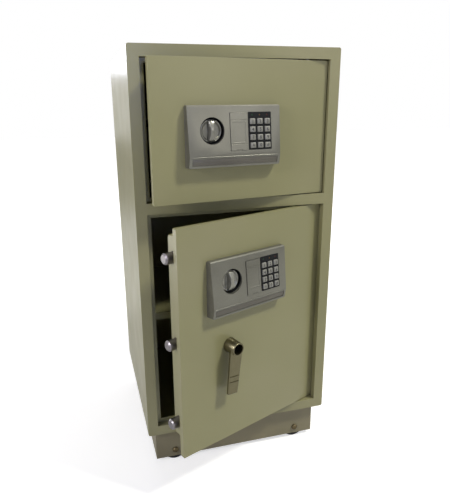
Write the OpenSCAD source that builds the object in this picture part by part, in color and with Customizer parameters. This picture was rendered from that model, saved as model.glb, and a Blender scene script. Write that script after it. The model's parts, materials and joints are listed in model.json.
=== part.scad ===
// Two-door steel safe on a recessed plinth with rollers. Each door has its own
// electronic lock; the lower door also has a lever handle that draws its bolts.
// Origin: on the floor, under the centre of the body. +Z is up, -Y is the front,
// +X is the hinge side.

/* [Cabinet] */
// Width over the side walls
body_w = 380; // [370:5:460]
// Height of the painted body above the plinth
body_h = 730; // [715:5:900]
// Depth from the frame's face to the outside of the back
body_d = 368; // [330:2:440]
// Thickness of the wrapped side sheet
wall_t = 3; // [2:0.5:4]
// Thickness of the back panel
back_t = 3; // [2:0.5:5]
// Outside radius of the body's long corners
fold_r = 4; // [3:0.5:6]
// Thickness of the deck between the two compartments
deck_t = 3; // [2:0.5:5]
// Height of the deck's folded edges
deck_hem = 14; // [8:1:20]
// Diameter of the anchor holes in the back
anchor_d = 12; // [8:1:16]
// Distance between the left and right anchor holes
anchor_x = 220; // [160:10:260]
// Distance between the upper and lower anchor holes
anchor_z = 430; // [400:10:460]

/* [Front frame] */
// Thickness of the frame's sheet
frame_t = 3; // [2:0.5:4]
// Width of the frame beside the openings
stile_w = 20; // [16:1:26]
// Height of the frame above, between and below the openings
rail_h = 20; // [20:1:26]
// Height of the upper opening
upper_open_h = 240; // [220:5:270]
// Gap between a closed door plate and the lip behind it
seal_gap = 2.5; // [1.5:0.5:4]
// Thickness of the lip that the bolts catch behind
lip_t = 3; // [2:0.5:4]
// How far the lip stands into the opening
lip_w = 8; // [6:0.5:8]

/* [Doors] */
// Thickness of the door plates
door_t = 10; // [8:0.5:12]
// How far the plates sit behind the frame's face
door_set = 1.5; // [1:0.5:2.5]
// Gap on the lock side, above and below each plate
door_gap = 2; // [1.5:0.5:2.5]
// Gap on the hinge side of each plate
hinge_gap = 3.5; // [3.5:0.5:5]
// Radius of the plates' corners
plate_r = 2; // [1:0.5:4]
// Distance of the hinge pins from the hinge side of the opening
pin_in = 38; // [38:1:44]
// Diameter of the hinge pins
pin_d = 8; // [6:0.5:9]
// Clearance of a hinge pin in its block
pin_clear = 0.08; // [0.04:0.01:0.09]
// How deep a pin sits in the frame
pin_hold = 9; // [6:0.5:9.5]
// Height of the hinge blocks
block_h = 11; // [10:0.5:11]
// How far the upper door stands open at rest, in degrees
upper_rest = 8; // [8:0.5:30]
// How far the lower door stands open at rest, in degrees
lower_rest = 22; // [15:0.5:30]

/* [Door casings] */
// Distance of the casings from the lock edge of the plates
casing_in = 10; // [9.5:0.5:12]
// Distance of the casings from the hinge edge of the plates
casing_edge = 12; // [11.5:0.5:16]
// Distance of the casings below the plates' top edges
casing_drop = 18; // [11.5:0.5:20]
// Distance of the casings above the plates' bottom edges
casing_foot = 30; // [11.5:0.5:32]
// Thickness of the casings' sheet
casing_t = 2; // [1.5:0.5:3]
// Width of the rim that the inner cover screws to
casing_rim = 12; // [8:1:16]
// Thickness of the inner covers
cover_t = 1.5; // [1:0.5:2.5]
// Radius of the inner covers' corners
cover_r = 6; // [3:1:10]

/* [Bolt works] */
// Diameter of the locking bolts
bolt_d = 20; // [16:1:22]
// Clearance round a bolt in its guides
bolt_clear = 0.3; // [0.2:0.05:0.6]
// Gap between a bolt and the back of the lip
bolt_gap = 1.5; // [1:0.5:3]
// How far the bolts move
bolt_throw = 17; // [14:0.5:18]
// How far a drawn bolt still stands out of the casing
bolt_show = 2; // [1:0.5:2]
// Width of the sloping edge round a bolt's end
bolt_tip = 2.5; // [1:0.5:3]
// Distance between the lower door's bolts
lower_pitch = 156; // [140:2:160]
// Height of the lower door's middle bolt above the plate's middle
lower_rise = 3; // [-4:1:6]
// Distance between the upper door's bolts
upper_pitch = 108; // [90:2:120]
// Distance of the inner guide wall from the casing's side
web_in = 38; // [34:1:40]
// Gap between the guide wall and the bar of the thrown bolts
bar_gap = 20; // [19:1:24]
// Thickness of the bar that joins the bolts
bar_t = 5; // [4:0.5:6]
// Thickness of the fork and of the cam arms
arm_t = 3; // [2.5:0.5:3]
// Diameter of the cam pins
cam_pin_d = 6; // [5:0.5:7]
// Clearance of a cam pin in its fork
fork_clear = 0.6; // [0.5:0.1:0.8]

/* [Lock housings] */
// Distance of the housings from the lock edge of the plates
panel_x = 57.5; // [50:0.5:75]
// Distance of the upper housing below its plate's top edge
upper_drop = 74; // [65:1:80]
// Distance of the lower housing below its plate's top edge
lower_drop = 64; // [55:1:75]
// Width of the lock housings
panel_w = 173; // [172:1:190]
// Height of the lock housings
panel_h = 102; // [101:1:115]
// Thickness of the housings at the top edge
panel_top_t = 10.5; // [8:0.5:12]
// Thickness of the housings at the ridge
panel_ridge_t = 19; // [18:0.5:20]
// Thickness of the housings at the bottom edge
panel_foot_t = 15.5; // [12:0.5:18.5]
// Height of the ridge above the bottom edge
ridge_z = 18; // [17:0.5:20]
// Slope of the housings' sides, as an inset at the front
panel_bevel = 1.5; // [1:0.5:3]
// Width of the sloping edge along the housings' top
panel_chamfer = 2; // [1:0.5:3]
// Radius of the housings' corners
panel_r = 2.5; // [1:0.5:8]
// Depth of the bare band below the ridge
band_sink = 1; // [0.4:0.1:1.2]
// Distance of the bare band from the housings' sides
band_in = 6; // [4:1:12]
// Distance of the bare band below the ridge
band_drop = 2.5; // [2:0.5:4]
// Distance of the bare band above the housings' bottom edge
band_rise = 3.5; // [3:0.5:5]
// Distance of the knobs' axes from the housings' left edge
knob_px = 44; // [40:0.5:46]
// Height of the knobs' axes above the housings' bottom edge
knob_pz = 60.5; // [58:0.5:62]
// Thickness of the housing below a knob's well
well_floor = 1.5; // [1.5:0.5:2.5]

/* [Keypads] */
// Width of a keypad
pad_w = 44; // [44:0.5:46]
// Distance of the keypads from the housings' left edge
pad_px = 110.5; // [110:0.5:114]
// Distance of the keypads above the ridge, along the slope
pad_w0 = 9.6; // [8:0.2:10.6]
// Height of a keypad
pad_h = 63; // [62:0.5:65]
// Thickness of a keypad's black plate
pad_t = 4.5; // [4:0.5:5]
// How far the black plate stands out of the housing
pad_out = 0.8; // [0.4:0.1:1.2]
// Width of a key
key_w = 10; // [9.2:0.2:10.6]
// Height of a key
key_h = 9.4; // [9:0.2:10]
// Distance between key columns
key_px = 14.2; // [13.6:0.1:14.4]
// Distance between key rows
key_pz = 13.3; // [12.8:0.1:13.5]
// Distance of the lowest keys above the keypad's lower edge
key_rise = 2.8; // [2:0.1:3]
// Distance of the indicator wells below the keypad's upper edge
led_in = 5; // [3.5:0.5:5]
// Diameter of the indicator wells
led_d = 3.5; // [2.5:0.5:4]
// Gap round a key in its window
key_gap = 0.4; // [0.3:0.1:0.6]
// How far a key stands out of the black plate
key_out = 1.9; // [1.4:0.1:2.4]
// How far a key can be pressed
key_travel = 1.2; // [0.8:0.1:1.4]

/* [Knobs and handle] */
// Diameter of the knobs
knob_d = 37; // [34:1:39]
// Diameter of the wells that the knobs sit in
well_d = 44; // [43:1:46]
// How far the knobs' rims stand out from the door plate
knob_rim = 8.5; // [7:0.5:10]
// Width of the knobs' rims
rim_w = 1.8; // [1:0.2:3]
// How far the knobs' grips stand out from the door plate
knob_out = 17; // [15:0.5:24]
// Depth of the hollows beside a knob's grip, below the rim
knob_hollow = 3.5; // [2:0.5:4]
// Width of a knob's grip at its waist
grip_w = 9; // [7:0.5:12]
// Radius of the arch along the top of a knob's grip
grip_arch = 45; // [30:1:80]
// Diameter of the knob spindles
spindle_d = 8; // [7:0.5:9]
// Clearance round every spindle
spindle_clear = 0.3; // [0.2:0.05:0.5]
// Turn of a knob between open and locked, in degrees
knob_turn = 90; // [80:5:100]
// Distance of the lever's hub from the lock edge of the plate
hub_x = 106; // [104:1:112]
// Distance of the lever's hub below the lower housing
hub_drop = 66; // [60:1:80]
// Diameter of the lever's hub
hub_d = 28; // [25:0.5:30]
// Diameter of the hub at its open end
hub_end_d = 24.5; // [22.5:0.5:26]
// Diameter of the hollow in the hub's open end
hub_bore = 20; // [14:0.5:20.5]
// How far the lever stands out from the door plate
hub_out = 27; // [24:0.5:32]
// Distance of the lever's face behind the hub's open end
lever_set = 4; // [1:0.5:8]
// How far the lever leans out of plumb at rest, in degrees
lever_lean = 6; // [0:1:10]
// Length of the lever below the hub's centre
lever_len = 90; // [70:2:100]
// Width of the lever at the hub
lever_w = 27; // [24:1:28]
// Width of the lever at its end
lever_end_w = 23; // [16:1:24]
// Thickness of the lever
lever_t = 6; // [5:0.5:10]
// Width of the grooves across the lever
lever_groove = 1.6; // [1:0.2:2]
// Diameter of the lever's spindle
lever_spindle_d = 12; // [10:0.5:13]
// Turn of the lever between locked and open, in degrees
lever_turn = 60; // [50:5:70]

/* [Override locks] */
// Width of the plate that hides the override lock
hatch_w = 33; // [31:0.5:34]
// Distance of that plate from the housing's left edge
hatch_px = 76; // [74:0.5:76]
// Distance of that plate above the ridge, along the slope
hatch_w0 = 9; // [8:0.5:10]
// Height of that plate
hatch_h = 63; // [60:0.5:65]
// Thickness of that plate
hatch_t = 2.5; // [2:0.1:3]
// How far that plate stands out of the housing
hatch_out = 1.5; // [0:0.1:2]
// Gap round that plate
hatch_gap = 0.5; // [0.2:0.1:0.6]
// Distance of the plate's bare field from its sides
field_in = 4; // [3:0.5:6]
// Diameter of the override lock's barrel
barrel_d = 19; // [16:0.5:20]
// Clearance of the barrel in the housing and the door
barrel_clear = 0.2; // [0.1:0.1:0.4]
// Height of the barrel's axis above the housing's bottom edge
barrel_pz = 58; // [54:1:60]

/* [Inside] */
// Height of the shelf above the lower opening's bottom
shelf_z = 217; // [190:1:220]
// Distance of the shelf behind the frame's face
shelf_in = 60; // [60:2:100]
// Thickness of the shelf
shelf_t = 2; // [1.5:0.5:3]
// Height of the shelf's folded front and back edges
shelf_hem = 14; // [12:1:24]
// Gap between the shelf and the side walls
shelf_gap = 1.5; // [1:0.5:3]
// Width of the shelf brackets' legs
bracket_leg = 14; // [10:1:18]
// Length of the shelf brackets
bracket_run = 24; // [16:1:40]
// Distance of the brackets from the shelf's folded edges
bracket_in = 20; // [10:1:40]
// Width of the battery boxes
battery_w = 68; // [62:1:74]
// Height of the battery boxes
battery_h = 108; // [100:1:116]
// Depth of the battery boxes
battery_t = 14; // [12:0.5:14]

/* [Plinth and rollers] */
// Height of the plinth
plinth_h = 70; // [66:1:90]
// Distance of the plinth's sides inside the body's
plinth_side_in = 16; // [10:1:24]
// Distance of the plinth's front behind the frame's face
plinth_front_in = 17; // [12:1:30]
// Distance of the plinth's back inside the body's
plinth_back_in = 10; // [6:1:20]
// Thickness of the plinth's sheet
plinth_t = 3; // [2:0.5:4]
// Diameter of the rollers
roller_d = 50; // [44:1:54]
// Width of the rollers
roller_w = 20; // [16:1:24]
// Gap at each face of a roller
roller_gap = 1; // [0.5:0.25:2]
// Diameter of the axle bolts
axle_d = 8; // [7:0.5:10]
// Clearance of an axle bolt in its roller
axle_clear = 0.08; // [0.04:0.01:0.09]
// Height of the axles above the plinth's lower edge
axle_z = 15; // [14:0.5:18]
// Distance of the axles from the plinth's sides
axle_in = 40; // [36:1:60]

/* [Hidden] */
$fn = 64;
cut = 1;
key_names = ["1", "2", "3", "4", "5", "6", "7", "8", "9", "star", "0", "hash"];
door_names = ["lower", "upper"];
lower_nodes = [
    "door_plate", "door_casing", "inner_cover", "battery_box", "bolt_carriage",
    "lock_housing", "keypad_plate", "override_cover", "override_lock", "knob"
];

paint = "#9b9b7b";
grey_abs = "#8f9089";
black_abs = "#26272a";
steel = "#b9bbbd";
key_grey = "#b8bab6";
zinc = "#a7a69c";
dark_steel = "#55544f";

front_y = -body_d / 2;
back_y = body_d / 2;
plinth_z = roller_d / 2 - axle_z;
body_z = plinth_z + plinth_h;
inner_r = max(fold_r - wall_t, 0.5);
inner_w = body_w - 2 * wall_t;
inner_h = body_h - 2 * wall_t;
anchor_rise = 15;
anchor_mid = body_z + body_h / 2 + anchor_rise;

// The openings, lower first
open_w = body_w - 2 * stile_w;
open_x = -open_w / 2;
lower_open_h = body_h - 3 * rail_h - upper_open_h;
open_h = [lower_open_h, upper_open_h];
open_z = [body_z + rail_h, body_z + 2 * rail_h + lower_open_h];
rest = [lower_rest, upper_rest];

// The rebate's depth follows from the plate that closes into it
rebate_d = door_set + door_t + seal_gap;
lip_back = rebate_d + lip_t;

// Plate sizes, and the hinge axis in the plate's own frame
plate_w = open_w - door_gap - hinge_gap;
plate_h = [for (h = open_h) h - 2 * door_gap];
pin_off = 1;
pin_y = door_t + pin_off + pin_d / 2;
pin_x = open_w - pin_in - door_gap;
hinge_x = open_x + open_w - pin_in;
hinge_y = front_y + door_set + pin_y;
block_w = 3 * pin_d;
block_t = pin_d + 2 * pin_off + 1;
lug_side = 2;
lug_over = 6;
lip_free = 2;
lug_w = block_w + 2 * lug_side;
lug_y = pin_y + pin_d / 2 + lug_over;
lip_end = hinge_x - lug_w / 2 - lip_free;

// The casing is as deep as the bolts behind the lip need
bolt_y = lip_back - door_set + bolt_gap + bolt_d / 2;
casing_back = bolt_y + bolt_d / 2 + 1 + casing_t;
casing_w = plate_w - casing_in - casing_edge;
casing_h = [for (h = plate_h) h - casing_drop - casing_foot];
web_x = casing_in + web_in;

// Drawn tips stand bolt_show out of the casing; thrown ones go further by the throw
drawn_x = casing_in - bolt_show;
thrown_x = drawn_x - bolt_throw;
tip_x = [thrown_x, drawn_x];
bar_off = web_x + casing_t + bar_gap - thrown_x;
pitch = [lower_pitch, upper_pitch];
bolt_rise = [lower_rise, 0];
bolt_count = [3, 2];
bolt_z = [
    for (k = [0, 1])
        [for (i = [0:bolt_count[k] - 1])
            plate_h[k] / 2 + bolt_rise[k] + (i - (bolt_count[k] - 1) / 2) * pitch[k]]
];

// Housing places and the slope of its face
drop = [lower_drop, upper_drop];
panel_z = [for (k = [0, 1]) plate_h[k] - drop[k] - panel_h];
face_rise = panel_h - ridge_z;
face_slope = (panel_ridge_t - panel_top_t) / face_rise;
face_tilt = atan(face_slope);
knob_x = panel_x + knob_px;
knob_z = [for (z = panel_z) z + knob_pz];
barrel_px = hatch_px + hatch_w / 2;
pad_sink = pad_t - pad_out;
key_rear = pad_sink - key_travel - 1;
row_0 = pad_w0 + key_rise + key_h / 2;

// Cam pins swing equally to each side of the line below the spindle
knob_cam_r = bolt_throw / 2 / sin(knob_turn / 2);
lever_cam_r = bolt_throw / 2 / sin(lever_turn / 2);
hub_z = panel_z[0] - hub_drop;
hub_gap = 0.4;
cam_x = [hub_x, knob_x];
cam_z = [hub_z, knob_z[1]];
cam_r = [lever_cam_r, knob_cam_r];
cam_half = [lever_turn / 2, knob_turn / 2];
fork_y = bolt_y - bolt_d / 2;
cam_y = fork_y + arm_t + 0.5;
fork_x = [hub_x - bolt_throw / 2, knob_x + bolt_throw / 2];
spindle_ds = [lever_spindle_d, spindle_d];

plinth_w = body_w - 2 * plinth_side_in;
plinth_d = body_d - plinth_front_in - plinth_back_in;
plinth_y = front_y + plinth_front_in;
axle_x = plinth_w / 2 - axle_in;
bracket_off = plinth_t + roller_w + 2 * roller_gap;
bracket_rise = 5;
lug_gap = 0.5;

// Holes in the plates behind the housings, and in the inner covers
cable_d = 12;
release_d = 5;

// The battery boxes' lids, and the lips and cams of the override locks
lid_t = 1.5;
lid_in = 3;
lid_groove_w = 24;
lid_groove_h = 1.6;
lid_groove_t = 0.7;
lid_groove_pz = 4;
lip_over = 1.5;
lip_sink = 5;
barrel_out = 2;
barrel_stub_d = barrel_d - 7;
barrel_back = door_t + 6;
lock_cam = [8, 20, 2];
key_slot = [1.8, 9, 8];

// A rectangle with true arcs at its corners
module round_rect(w, h, r) {
    translate([r, 0])
        square([w - 2 * r, h]);
    translate([0, r])
        square([w, h - 2 * r]);
    for (x = [r, w - r])
        for (y = [r, h - r])
            translate([x, y])
                circle(r);
}

// An upright plate from y = 0 to y = t, with its corner at the origin
module upright(w, h, t, r = 0) {
    translate([0, t, 0])
        rotate([90, 0, 0])
            linear_extrude(t)
                if (r > 0)
                    round_rect(w, h, r);
                else
                    square([w, h]);
}

// A cylinder that starts at y = y0 and runs towards the back
module rod_y(d, y0, y1) {
    translate([0, y1, 0])
        rotate([90, 0, 0])
            cylinder(d = d, h = y1 - y0);
}

// Everything on a door is drawn closed, in the plate's frame, and then swung open
module on_door(k) {
    translate([hinge_x, hinge_y, 0])
        rotate([0, 0, rest[k]])
            translate([-pin_x, -pin_y, open_z[k] + door_gap])
                children();
}

// The housing's frame: x and z from its lower left corner, y = 0 on the plate
module on_panel(k) {
    on_door(k)
        translate([panel_x, 0, panel_z[k]])
            children();
}

// The housing's sloping face: y = 0 on the face, z up the slope from the ridge
module on_face() {
    translate([0, -panel_ridge_t, ridge_z])
        rotate([-face_tilt, 0, 0])
            children();
}

module body_wrap() {
    run = body_d - frame_t;
    color(paint)
        translate([-body_w / 2, front_y + frame_t, body_z])
            difference() {
                upright(body_w, body_h, run, fold_r);
                translate([wall_t, -cut, wall_t])
                    upright(inner_w, inner_h, run + 2 * cut, inner_r);
            }
}

module back_panel() {
    color(paint)
        difference() {
            translate([-inner_w / 2, back_y - back_t, body_z + wall_t])
                upright(inner_w, inner_h, back_t, fold_r);
            for (x = [-anchor_x / 2, anchor_x / 2])
                for (z = [-anchor_z / 2, anchor_z / 2])
                    translate([x, 0, anchor_mid + z])
                        rod_y(anchor_d, back_y - back_t - cut, back_y + cut);
        }
}

module front_frame() {
    lug_z = [body_z + wall_t, open_z[0] + open_h[0], open_z[1] + open_h[1]];
    lug_h = [rail_h - wall_t, rail_h, rail_h - wall_t];
    color(paint)
        difference() {
            union() {
                translate([-body_w / 2, front_y, body_z])
                    upright(body_w, body_h, frame_t, fold_r);
                for (k = [0, 1])
                    translate([open_x - frame_t, front_y, open_z[k] - frame_t])
                        upright(open_w + 2 * frame_t, open_h[k] + 2 * frame_t, rebate_d + lip_t / 2);
                translate([-inner_w / 2, front_y + rebate_d, body_z + wall_t])
                    upright(inner_w, inner_h, lip_t, fold_r);
            }
            for (k = [0, 1]) {
                translate([open_x, front_y - cut, open_z[k]])
                    upright(open_w, open_h[k], rebate_d + cut);
                translate([open_x + lip_w, front_y, open_z[k] + lip_w])
                    upright(lip_end - open_x - lip_w + cut, open_h[k] - 2 * lip_w, lip_back + cut);
                translate([lip_end, front_y, open_z[k]])
                    upright(open_x + open_w - lip_end, open_h[k], lip_back + cut);
            }
            pin_holes();
        }
    color(paint)
        difference() {
            for (i = [0:2])
                translate([hinge_x - lug_w / 2, front_y + frame_t, lug_z[i]])
                    cube([lug_w, door_set + lug_y - frame_t, lug_h[i]]);
            pin_holes();
        }
}

module pin_holes() {
    for (k = [0, 1])
        for (z = [open_z[k] - pin_hold, open_z[k] + open_h[k]])
            translate([hinge_x, hinge_y, z])
                cylinder(d = pin_d + 0.02, h = pin_hold);
}

// Each pin reaches from its hole in the frame into a block on the door
module hinge_pins() {
    reach = pin_hold + door_gap + block_h - 3;
    color(steel)
        for (k = [0, 1]) {
            translate([hinge_x, hinge_y, open_z[k] - pin_hold])
                cylinder(d = pin_d, h = reach);
            translate([hinge_x, hinge_y, open_z[k] + open_h[k] + pin_hold - reach])
                cylinder(d = pin_d, h = reach);
        }
}

module compartment_deck() {
    deck_z = open_z[1] - rail_h / 2 - deck_t / 2;
    deck_y = front_y + lip_back;
    deck_d = back_y - back_t - deck_y;
    color(paint)
        difference() {
            translate([-inner_w / 2, deck_y, deck_z + deck_t - deck_hem])
                cube([inner_w, deck_d, deck_hem]);
            translate([-inner_w / 2 + deck_t, deck_y - cut, deck_z - deck_hem])
                cube([inner_w - 2 * deck_t, deck_d - deck_t + cut, deck_hem]);
            translate([hinge_x - lug_w / 2 - lug_gap, front_y, deck_z - deck_hem])
                cube([lug_w + 2 * lug_gap, door_set + lug_y + lug_gap, 3 * deck_hem]);
        }
}

// The shelf's front edge is folded down and back under
module shelf() {
    top = open_z[0] + shelf_z;
    y0 = front_y + shelf_in;
    y1 = back_y - back_t - shelf_gap;
    w = inner_w - 2 * shelf_gap;
    color(paint)
        translate([-w / 2, 0, 0])
            rotate([90, 0, 90])
                linear_extrude(w)
                    difference() {
                        translate([y0, top - shelf_hem])
                            square([y1 - y0, shelf_hem]);
                        translate([y0 + shelf_t, top - shelf_hem + shelf_t])
                            square([y1 - y0 - 2 * shelf_t, shelf_hem - 2 * shelf_t]);
                        translate([y0 + shelf_hem, top - shelf_hem - cut])
                            square([y1 - y0 - 2 * shelf_hem, shelf_hem - shelf_t + cut]);
                    }
}

module shelf_brackets() {
    top = open_z[0] + shelf_z - shelf_t;
    y0 = front_y + shelf_in + shelf_hem + bracket_in;
    y1 = back_y - back_t - shelf_hem - bracket_in - bracket_run;
    color(steel)
        for (side = [0, 1])
            mirror([side, 0, 0])
                for (y = [y0, y1])
                    translate([-inner_w / 2, y, top])
                        difference() {
                            translate([0, 0, -bracket_leg])
                                cube([bracket_leg, bracket_run, bracket_leg]);
                            translate([shelf_t, -cut, -bracket_leg - shelf_t])
                                cube([bracket_leg, bracket_run + 2 * cut, bracket_leg]);
                        }
}

module plinth() {
    color(dark_steel)
        translate([-plinth_w / 2, plinth_y, plinth_z])
            difference() {
                union() {
                    difference() {
                        cube([plinth_w, plinth_d, plinth_h]);
                        translate([plinth_t, plinth_t, -cut])
                            cube([plinth_w - 2 * plinth_t, plinth_d - 2 * plinth_t, plinth_h + 2 * cut]);
                    }
                    for (x = [0, plinth_w - 2 * axle_in])
                        for (y = [bracket_off, plinth_d - bracket_off - plinth_t])
                            translate([x, y, bracket_rise])
                                cube([2 * axle_in, plinth_t, plinth_h - bracket_rise]);
                }
                for (x = [axle_in, plinth_w - axle_in])
                    translate([x, 0, axle_z])
                        rod_y(axle_d + 0.02, -cut, plinth_d + cut);
            }
}

// Round-headed bolts, their shanks the axles, with a nut inside each bracket
module axle_bolts() {
    head_d = 1.6 * axle_d;
    head_t = 0.6 * axle_d;
    color(steel)
        for (x = [-axle_x, axle_x])
            for (side = [0, 1])
                translate([x, side == 0 ? plinth_y : plinth_y + plinth_d, plinth_z + axle_z])
                    mirror([0, side, 0]) {
                        rod_y(axle_d, -head_t / 2, bracket_off + plinth_t + head_t);
                        rod_y(head_d, -head_t / 2, 0);
                        translate([0, -head_t / 2, 0])
                            rotate([90, 0, 0])
                                cylinder(d1 = head_d, d2 = 0.6 * head_d, h = head_t / 2);
                        translate([0, bracket_off + plinth_t + head_t, 0])
                            rotate([90, 0, 0])
                                cylinder(d = 1.8 * axle_d, h = head_t, $fn = 6);
                    }
}

// side: -1 left, 1 right; back: 0 front, 1 rear
module roller(side, back) {
    r = roller_d / 2;
    y0 = plinth_y + plinth_t + roller_gap;
    y1 = plinth_y + plinth_d - plinth_t - roller_gap - roller_w;
    color(black_abs)
        translate([side * axle_x, (back ? y1 : y0) + roller_w, plinth_z + axle_z])
            rotate([90, 0, 0])
                rotate_extrude()
                    polygon([
                        [axle_d / 2 + axle_clear, 0],
                        [axle_d, 0],
                        [axle_d, 2.5],
                        [r - 6, 2.5],
                        [r - 5, 0],
                        [r - 1.5, 0],
                        [r, 1.5],
                        [r, roller_w - 1.5],
                        [r - 1.5, roller_w],
                        [r - 5, roller_w],
                        [r - 6, roller_w - 2.5],
                        [axle_d, roller_w - 2.5],
                        [axle_d, roller_w],
                        [axle_d / 2 + axle_clear, roller_w]
                    ]);
}

module door_plate(k) {
    color(paint)
        on_door(k)
            difference() {
                union() {
                    upright(plate_w, plate_h[k], door_t, plate_r);
                    for (z = [0, plate_h[k] - block_h])
                        translate([pin_x - block_w / 2, door_t, z])
                            cube([block_w, block_t, block_h]);
                }
                for (z = [-cut, plate_h[k] - block_h + 2])
                    translate([pin_x, pin_y, z])
                        cylinder(d = pin_d + 2 * pin_clear, h = block_h - 2 + cut);
                translate([knob_x, 0, knob_z[k]])
                    rod_y(spindle_d + 2 * spindle_clear, -cut, door_t + cut);
                translate([panel_x + barrel_px, 0, panel_z[k] + barrel_pz])
                    rod_y(barrel_d + 2 * barrel_clear, -cut, door_t + cut);
                translate([panel_x + pad_px + pad_w / 2, 0, panel_z[k] + knob_pz])
                    rod_y(cable_d, -cut, door_t + cut);
                if (k == 0)
                    translate([hub_x, 0, hub_z])
                        rod_y(lever_spindle_d + 2 * spindle_clear, -cut, door_t + cut);
            }
}

// A folded tray with a rim for the cover, and a second guide wall for the bolts
module door_casing(k) {
    color(paint)
        on_door(k)
            difference() {
                union() {
                    difference() {
                        translate([casing_in, door_t, casing_foot])
                            upright(casing_w, casing_h[k], casing_back - door_t);
                        translate([casing_in + casing_t, door_t - cut, casing_foot + casing_t])
                            upright(casing_w - 2 * casing_t, casing_h[k] - 2 * casing_t,
                                casing_back - door_t - casing_t + cut);
                        translate([casing_in + casing_rim, door_t, casing_foot + casing_rim])
                            upright(casing_w - 2 * casing_rim, casing_h[k] - 2 * casing_rim,
                                casing_back - door_t + cut);
                    }
                    translate([web_x, door_t, casing_foot + casing_t])
                        upright(casing_t, casing_h[k] - 2 * casing_t, casing_back - door_t - casing_t);
                }
                for (z = bolt_z[k])
                    translate([0, bolt_y, z])
                        rotate([0, 90, 0])
                            cylinder(d = bolt_d + 2 * bolt_clear, h = web_x + 2 * casing_t);
            }
}

module inner_cover(k) {
    color(paint)
        on_door(k)
            difference() {
                translate([casing_in, casing_back, casing_foot])
                    upright(casing_w, casing_h[k], cover_t, cover_r);
                translate([knob_x, 0, knob_z[k]])
                    rod_y(release_d, casing_back - cut, casing_back + cover_t + cut);
            }
}

// A black box on the inner cover, over the lock housing, with a lid that slides off
module battery_box(k) {
    x0 = panel_x + pad_px + pad_w / 2;
    z0 = panel_z[k] + (panel_h - battery_h) / 2;
    color(black_abs)
        on_door(k)
            translate([x0, casing_back + cover_t, z0])
                difference() {
                    union() {
                        upright(battery_w, battery_h, battery_t - lid_t, lid_in + 1);
                        translate([lid_in, 0, lid_in])
                            upright(battery_w - 2 * lid_in, battery_h - 2 * lid_in, battery_t, lid_in);
                    }
                    for (i = [0:3])
                        translate([(battery_w - lid_groove_w) / 2, battery_t - lid_groove_t,
                            battery_h * 0.76 + i * lid_groove_pz])
                            cube([lid_groove_w, cut + lid_groove_t, lid_groove_h]);
                }
}

// Round bolts on a flat bar, with a fork that the cam pin moves
module bolt_carriage(k) {
    x0 = tip_x[k];
    bar_x = x0 + bar_off;
    low = bolt_z[k][0] - bolt_d * 0.75;
    high = bolt_z[k][bolt_count[k] - 1] + bolt_d * 0.75;
    slot = cam_pin_d + 2 * fork_clear;
    slot_z = cam_z[k] - cam_r[k] - cam_pin_d / 2 - fork_clear;
    prong_z = cam_z[k] - cam_r[k] * cos(cam_half[k]) + cam_pin_d / 2 - 1;
    color(steel)
        on_door(k) {
            for (z = bolt_z[k])
                translate([x0, bolt_y, z])
                    rotate([0, 90, 0]) {
                        cylinder(d1 = bolt_d - 2 * bolt_tip, d2 = bolt_d, h = bolt_tip);
                        translate([0, 0, bolt_tip])
                            cylinder(d = bolt_d, h = bar_off - bolt_tip);
                    }
            translate([bar_x, bolt_y - bolt_d / 2, low])
                cube([bar_t, bolt_d, high - low]);
            translate([bar_x, fork_y, slot_z - 4])
                difference() {
                    cube([fork_x[k] - bar_x + slot / 2 + 3.5, arm_t, prong_z - slot_z + 4]);
                    translate([fork_x[k] - bar_x - slot / 2, -cut, 4])
                        cube([slot, arm_t + 2 * cut, 2 * cam_r[k]]);
                }
        }
}

// The cam arm on a spindle's inner end, at rest with its pin in the fork
module cam(k) {
    angle = k == 0 ? -cam_half[k] : cam_half[k];
    translate([cam_x[k], 0, cam_z[k]])
        rotate([0, -angle, 0]) {
            hub = spindle_ds[k] / 2 + 2;
            end = cam_pin_d / 2 + 1;
            translate([0, cam_y + arm_t, 0])
                rotate([90, 0, 0])
                    linear_extrude(arm_t) {
                        circle(hub);
                        translate([0, -cam_r[k]])
                            circle(end);
                        translate([-end, -cam_r[k]])
                            square([2 * end, cam_r[k]]);
                    }
            translate([0, 0, -cam_r[k]])
                rod_y(cam_pin_d, fork_y + 0.3, cam_y);
        }
}

// The wedge that both lock housings share, thick at the ridge and thin at the top
module housing_wedge() {
    intersection() {
        hull() {
            translate([0, -5, 0])
                upright(panel_w, panel_h, 5, panel_r, $fn = 32);
            translate([panel_bevel, -panel_ridge_t, panel_bevel / 2])
                upright(panel_w - 2 * panel_bevel, panel_h - panel_bevel, 1, panel_r, $fn = 32);
        }
        rotate([90, 0, 90])
            linear_extrude(panel_w)
                polygon([
                    [0, 0],
                    [0, panel_h],
                    [panel_chamfer - panel_top_t, panel_h],
                    [-panel_top_t - face_slope * panel_chamfer, panel_h - panel_chamfer],
                    [-panel_ridge_t, ridge_z],
                    [-panel_foot_t, 0]
                ]);
    }
}

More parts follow.
